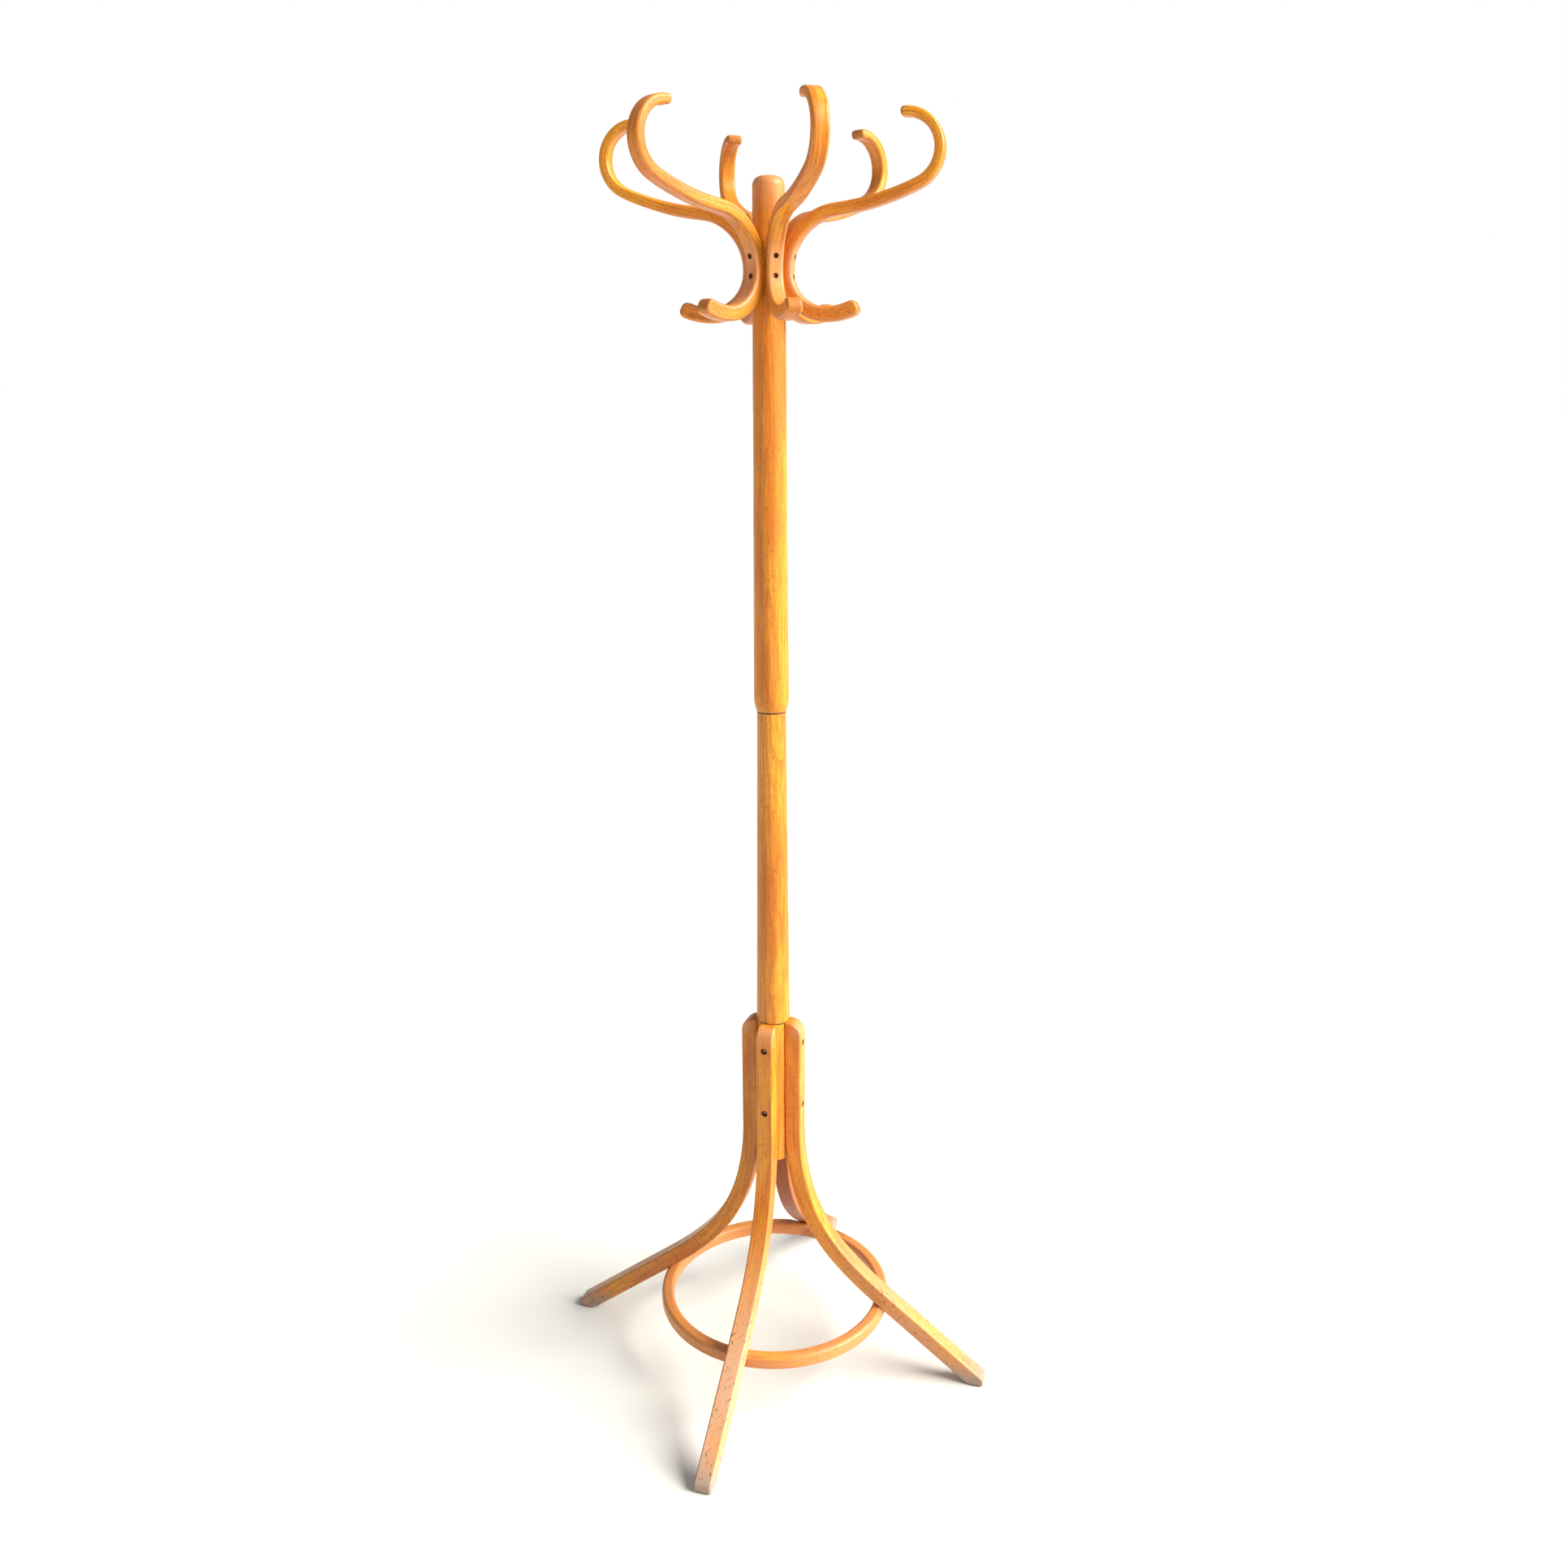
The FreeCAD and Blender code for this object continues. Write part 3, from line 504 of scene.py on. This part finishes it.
def ring_beech(name, seed, shade):
    """Beech bent into a hoop whose ends are glued together."""
    shader = Shader(name)
    out, side, up = local_place(shader, 0.0)
    depth = shader.maths("SUBTRACT", shader.distance(out, side), RING_RADIUS)
    across = shader.maths("SUBTRACT", up, RING_HEIGHT)
    angle = shader.maths("SUBTRACT", shader.maths("ARCTAN2", side, out), RING_JOINT_TURN)
    around = shader.maths("MULTIPLY", shader.maths("WRAP", angle, math.pi, -math.pi), RING_RADIUS)
    colour, roughness, height, cloud = beech_grain(shader, around, depth, across, seed, shade)

    colour = shader.tint(colour, SALMON, shader.fade(cloud, *RING_RUBBED))
    joint = shader.near(around, 0.0, JOINT_REACH, JOINT_SOFT)
    colour = shader.tint(colour, END_GRAIN, JOINT_SHARE, joint)
    slant = shader.maths("MULTIPLY_ADD", around, RING_JOINT_SLOPE, depth)
    glue = shader.near(slant, 0.0, GLUE_REACH, GLUE_SOFT)
    colour = shader.tint(colour, GRIME_AND_SHADOW, GLUE_SHARE, glue, joint)
    colour = speckle(shader, colour, around, depth, across, RING_NICKS)
    return varnish(shader, colour, roughness, height, relief=0.00014, haze=0.24)


# ---------------------------------------------------------------------------------------------------
# Metal
# ---------------------------------------------------------------------------------------------------

STAIN_DETAIL = (4.0, 0.6)           # detail and roughness of the stains' noise
STAIN_BAND = (0.42, 0.66)
ROUGH_BAND = (0.35, 0.70)
ROUGH_SPREAD = 0.25
BRUSHED_DETAIL = (3.0, 0.6)
FINE_ACROSS = 9.0                   # how much finer the brushed relief is than the stains
FINE_ALONG = 2.0
METAL_RELIEF = 0.00004
METALLIC = 0.9


def metal(name, clean, stained, stain, roughness, coarse):
    """Metal with that share of stains over it, and so many of them a metre."""
    shader = Shader(name)
    place = local_place(shader, 0.0)
    blotches = shader.noise(place, (coarse, coarse, coarse), *STAIN_DETAIL)
    brushed = (coarse * FINE_ACROSS, coarse * FINE_ACROSS, coarse * FINE_ALONG)
    height = shader.noise(place, brushed, *BRUSHED_DETAIL)
    colour = shader.tint(clean, stained, shader.fade(blotches, *STAIN_BAND, 0.0, stain))
    rough = shader.fade(blotches, *ROUGH_BAND, roughness, roughness + ROUGH_SPREAD)
    return shader.finish(colour, rough, height, METAL_RELIEF, {"Metallic": METALLIC})


# ---------------------------------------------------------------------------------------------------
# Finish every CAD node.  Seeds run on from piece to piece, so that no two share their timber.
# ---------------------------------------------------------------------------------------------------

FIRST_COLUMN_SEED = 1.0
RING_SEED = 3.0
FIRST_LEG_SEED = 4.0
FIRST_HOOK_SEED = 8.0

COLUMNS = {                         # shade, and the heights where it meets its neighbours
    "lower_column": (0.10, (SEAM_HEIGHT, LEG_TOP)),
    "upper_column": (0.04, (SEAM_HEIGHT,)),
}
RING_SHADE = 0.12
HOOK_SHADES = (0.04, 0.0, 0.14, 0.20, 0.06, 0.10)
LEGS = {                            # turn about the column, shade, and wear of the lower half
    "leg_right": (0.0, 0.0, 0.60),
    # the back leg's darkness is painted shade: it stands in the shadow of the rest
    "leg_back": (90.0, 0.90, 0.0),
    "leg_left": (180.0, 0.22, 0.10),
    "leg_front": (270.0, 0.0, 0.95),
}


def paint(node, material):
    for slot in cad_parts[node].material_slots:
        slot.material = material


def paint_all():
    for number, (node, (shade, meets)) in enumerate(COLUMNS.items()):
        paint(node, column_beech("beech_" + node, FIRST_COLUMN_SEED + number, shade, meets))
    paint("foot_ring", ring_beech("beech_foot_ring", RING_SEED, RING_SHADE))
    for number, (node, (turn, shade, wear)) in enumerate(LEGS.items()):
        paint(node, leg_beech("beech_" + node, turn, FIRST_LEG_SEED + number, shade, wear))
    for number, shade in enumerate(HOOK_SHADES):
        node = "hook_%d" % (number + 1)
        turn = FRONT_TURN + CROWN_TURN + 360.0 / len(HOOK_SHADES) * number
        paint(node, hook_beech("beech_" + node, turn, FIRST_HOOK_SEED + number, shade))
    steel = metal("aged_screw_steel", STEEL, RUST, stain=0.9, roughness=0.38, coarse=420.0)
    zinc = metal("zinc_plated_steel", ZINC, STEEL, stain=0.6, roughness=0.25, coarse=260.0)
    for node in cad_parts:
        if node.endswith("_screws"):
            paint(node, steel)
    paint("joint_stud", zinc)
    paint("joint_insert", zinc)


# ---------------------------------------------------------------------------------------------------
# Floor, light and camera.  Turns are from the front leg's direction round to the right.
# ---------------------------------------------------------------------------------------------------

FLOOR_REACH = 60.0
FLOOR_COLOUR = (0.70, 0.70, 0.70)
SKY_LIGHT = 0.36
SUN_STRENGTH = 9.2
SUN_COLOUR = (1.0, 0.97, 0.86)
SUN_TURN = 93.0
SUN_HEIGHT = 31.0
SUN_SPREAD = 46.0


def make_floor():
    mesh = bpy.data.meshes.new("floor")
    corners = [(x * FLOOR_REACH, y * FLOOR_REACH, 0.0) for x, y in ((-1, -1), (1, -1), (1, 1), (-1, 1))]
    mesh.from_pydata(corners, [], [(0, 1, 2, 3)])
    floor = bpy.data.objects.new("floor", mesh)
    bpy.context.scene.collection.objects.link(floor)
    shader = Shader("floor_paper")
    surface = shader.node("BsdfDiffuse", {"Color": FLOOR_COLOUR})
    shader.node("OutputMaterial", {"Surface": surface.outputs[0]})
    mesh.materials.append(shader.material)


def make_sky():
    """White where it is seen directly, and dimmer as a light, so that the wood keeps its shading."""
    world = bpy.data.worlds.new("studio")
    bpy.context.scene.world = world
    world.use_nodes = True
    nodes = world.node_tree.nodes
    links = world.node_tree.links
    nodes.clear()
    seen = nodes.new("ShaderNodeLightPath").outputs["Is Camera Ray"]
    glow = nodes.new("ShaderNodeBackground")
    light = nodes.new("ShaderNodeBackground")
    light.inputs["Strength"].default_value = SKY_LIGHT
    for background in (glow, light):
        background.inputs["Color"].default_value = (1.0, 1.0, 1.0, 1.0)
    either = nodes.new("ShaderNodeMixShader")
    links.new(seen, either.inputs[0])
    links.new(light.outputs[0], either.inputs[1])
    links.new(glow.outputs[0], either.inputs[2])
    out = nodes.new("ShaderNodeOutputWorld")
    links.new(either.outputs[0], out.inputs["Surface"])


def make_sun():
    data = bpy.data.lights.new("sun", "SUN")
    data.energy = SUN_STRENGTH
    data.color = SUN_COLOUR
    data.angle = math.radians(SUN_SPREAD)
    sun = bpy.data.objects.new("sun", data)
    turn = math.radians(SUN_TURN)
    height = math.radians(SUN_HEIGHT)
    level = Vector((math.sin(turn), -math.cos(turn), 0.0))
    towards = level * math.cos(height) + Vector((0.0, 0.0, math.sin(height)))
    sun.rotation_mode = "QUATERNION"
    sun.rotation_quaternion = towards.to_track_quat("Z", "Y")
    bpy.context.scene.collection.objects.link(sun)


CAMERA_DISTANCE = 1.9703            # from the column's axis, level
CAMERA_HEIGHT = 1.5415
CAMERA_TURN = math.radians(17.782)
CAMERA_PITCH = 0.28418              # looking down
CAMERA_YAW = 0.00905                # looking to the right of the column
CAMERA_ROLL = 0.00332
CAMERA_LENS = 31.98
CAMERA_SENSOR = 36.0


def make_camera():
    data = bpy.data.cameras.new("camera")
    data.lens = CAMERA_LENS
    data.sensor_width = CAMERA_SENSOR
    camera = bpy.data.objects.new("camera", data)
    heading = Matrix.Rotation(CAMERA_TURN, 3, "Z")
    forward = heading @ Vector((math.sin(CAMERA_YAW) * math.cos(CAMERA_PITCH),
                                math.cos(CAMERA_YAW) * math.cos(CAMERA_PITCH), -math.sin(CAMERA_PITCH)))
    level = forward.cross(Vector((0.0, 0.0, 1.0))).normalized()
    upright = level.cross(forward)
    right = level * math.cos(CAMERA_ROLL) - upright * math.sin(CAMERA_ROLL)
    up = level * math.sin(CAMERA_ROLL) + upright * math.cos(CAMERA_ROLL)
    camera.matrix_world = Matrix((right, up, -forward)).transposed().to_4x4()
    camera.location = Vector((math.sin(CAMERA_TURN) * CAMERA_DISTANCE,
                              -math.cos(CAMERA_TURN) * CAMERA_DISTANCE, CAMERA_HEIGHT))
    bpy.context.scene.collection.objects.link(camera)
    bpy.context.scene.camera = camera


paint_all()
make_floor()
make_sky()
make_sun()
make_camera()
bpy.context.scene.view_settings.view_transform = "Standard"
